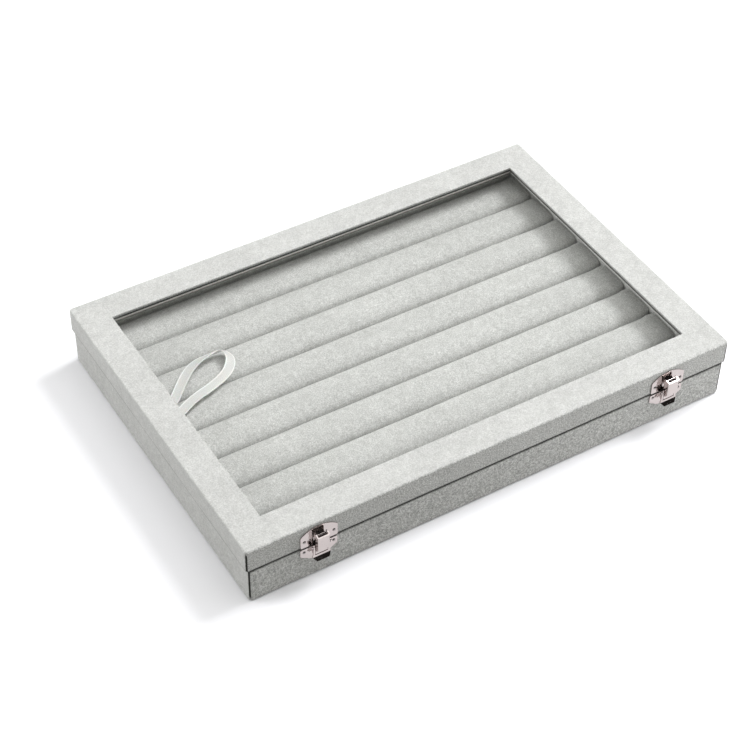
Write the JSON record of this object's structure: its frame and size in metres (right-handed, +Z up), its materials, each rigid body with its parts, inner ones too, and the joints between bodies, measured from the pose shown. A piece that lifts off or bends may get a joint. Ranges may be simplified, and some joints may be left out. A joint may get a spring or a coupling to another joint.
{
  "type": "display box",
  "caption": "Flat velvet-covered display box with a hinged glass-topped lid, over-centre latches, and a lift-out insert of padded rolls with a ribbon pull.",
  "frame": {"origin": "centre of the underside, on the surface that the box stands on", "axes": "+X along the front to the right seen from the front, +Y from the latches to the hinges, +Z up"},
  "size_m": [0.35, 0.2501, 0.045],
  "materials": {
    "velvet": "short velvet",
    "roll_velvet": "short velvet over foam",
    "board": "plain fibreboard",
    "card": "grey card",
    "underside": "thin felt",
    "glass": "clear float glass",
    "nickel": "bright nickel plate",
    "satin": "white satin ribbon"
  },
  "bodies": {
    "base": {"underside_sheet": "underside", "base_floor_board": "board", "base_front_board": "board", "base_rear_board": "board", "base_left_board": "board", "base_right_board": "board", "base_cover": "velvet", "base_lining_front": "velvet", "base_lining_rear": "velvet", "base_lining_left": "velvet", "base_lining_right": "velvet", "hinge_left_base_leaf": "nickel", "hinge_right_base_leaf": "nickel", "hinge_left_pin": "nickel", "hinge_right_pin": "nickel", "hinge_base_nails": "nickel", "latch_left_plate": "nickel", "latch_right_plate": "nickel", "latch_left_lever_rivets": "nickel", "latch_right_lever_rivets": "nickel", "latch_plate_nails": "nickel"},
    "insert": {"insert_board": "card", "insert_end_left": "roll_velvet", "insert_end_right": "roll_velvet", "padded_roll_1": "roll_velvet", "padded_roll_2": "roll_velvet", "padded_roll_3": "roll_velvet", "padded_roll_4": "roll_velvet", "padded_roll_5": "roll_velvet", "padded_roll_6": "roll_velvet", "padded_roll_7": "roll_velvet", "padded_roll_8": "roll_velvet", "ribbon_pull": "satin"},
    "lid": {"lid_rail_front": "board", "lid_rail_rear": "board", "lid_rail_left": "board", "lid_rail_right": "board", "lid_cover": "velvet", "glass_pane": "glass", "lid_lining_front": "velvet", "lid_lining_rear": "velvet", "lid_lining_left": "velvet", "lid_lining_right": "velvet", "hinge_left_lid_leaf": "nickel", "hinge_right_lid_leaf": "nickel", "hinge_lid_nails": "nickel", "latch_left_strike": "nickel", "latch_right_strike": "nickel", "latch_strike_nails": "nickel"},
    "lever_left": {"latch_left_lever": "nickel", "latch_left_link_pin": "nickel"},
    "link_left": {"latch_left_link": "nickel"},
    "lever_right": {"latch_right_lever": "nickel", "latch_right_link_pin": "nickel"},
    "link_right": {"latch_right_link": "nickel"}
  },
  "joints": [
    {"name": "insert_lift", "type": "slide", "parent": "base", "child": "insert", "axis": [0, 0, 1], "range_m": [0, 0.005]},
    {"name": "lid_hinge", "type": "hinge", "parent": "base", "child": "lid", "pos_m": [0, 0.1218, 0.0274], "axis": [-1, 0, 0], "range_deg": [0, 105]},
    {"name": "lever_left_swing", "type": "hinge", "parent": "base", "child": "lever_left", "pos_m": [-0.127, -0.1228, 0.0288], "axis": [-1, 0, 0], "range_deg": [0, 95]},
    {"name": "link_left_fold", "type": "hinge", "parent": "lever_left", "child": "link_left", "pos_m": [-0.127, -0.1221, 0.0248], "axis": [-1, 0, 0], "range_deg": [-73, 0]},
    {"name": "lever_right_swing", "type": "hinge", "parent": "base", "child": "lever_right", "pos_m": [0.127, -0.1228, 0.0288], "axis": [-1, 0, 0], "range_deg": [0, 95]},
    {"name": "link_right_fold", "type": "hinge", "parent": "lever_right", "child": "link_right", "pos_m": [0.127, -0.1221, 0.0248], "axis": [-1, 0, 0], "range_deg": [-73, 0]}
  ],
  "couplings": [
    {"joint": "link_left_fold", "follows": "lever_left_swing", "ratio": -0.76},
    {"joint": "link_right_fold", "follows": "lever_right_swing", "ratio": -0.76}
  ]
}
